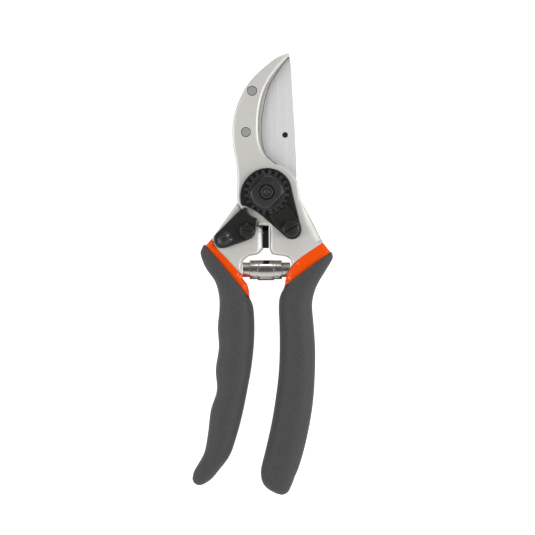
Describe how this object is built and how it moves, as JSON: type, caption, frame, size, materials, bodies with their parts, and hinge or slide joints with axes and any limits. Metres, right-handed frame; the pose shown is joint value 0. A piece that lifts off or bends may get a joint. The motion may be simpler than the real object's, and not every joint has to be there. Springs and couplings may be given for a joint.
{
  "type": "bypass pruning shears",
  "caption": "Hand-held bypass pruning shears with forged arms, toothed adjusting nut, volute spring and thumb catch, shut and locked.",
  "frame": {"origin": "on the pivot's axis, at the back face of the pivot bolt's head", "axes": "+X to the right and +Y towards the blade's tip, seen from the front; +Z out of the front, along the pivot's axis"},
  "size_m": [0.0704, 0.2206, 0.0233],
  "materials": {
    "forged_aluminium": "satin, blasted and clear coated",
    "ground_steel": "ground",
    "rivet_steel": "ground flush",
    "black_steel": "black oxide",
    "nut_steel": "black phosphate",
    "bright_steel": "turned",
    "bronze": "rolled",
    "spring_steel": "polished",
    "orange_plastic": "glossy",
    "grip_rubber": "fine matt texture",
    "bumper_rubber": "matt",
    "catch_plastic": "semi matt"
  },
  "bodies": {
    "hook_side": {"hook_arm": "forged_aluminium", "counter_blade": "ground_steel", "counter_blade_rivets": "rivet_steel", "pivot_bolt": "black_steel", "head_washer": "bright_steel", "shear_washer": "bronze", "locking_plate": "black_steel", "toothed_nut": "nut_steel", "toothed_segment": "black_steel", "segment_screw": "black_steel", "right_sleeve": "orange_plastic", "right_grip": "grip_rubber", "volute_spring": "spring_steel"},
    "blade_side": {"blade_arm": "forged_aluminium", "cutting_blade": "ground_steel", "blade_pin": "black_steel", "pivot_bush": "bright_steel", "stop_bumper": "bumper_rubber", "left_sleeve": "orange_plastic", "left_grip": "grip_rubber", "catch_screw": "black_steel", "catch_washer": "bright_steel"},
    "catch": {"thumb_catch": "catch_plastic"}
  },
  "joints": [
    {"name": "pivot", "type": "hinge", "parent": "hook_side", "child": "blade_side", "pos_m": [0, 0, 0.01], "axis": [0, 0, -1], "range_deg": [0, 32], "deforming": ["volute_spring"]},
    {"name": "catch_turn", "type": "hinge", "parent": "blade_side", "child": "catch", "pos_m": [-0.0099, -0.0192, 0.0186], "axis": [0, 0, 1], "range_deg": [0, 28]}
  ]
}
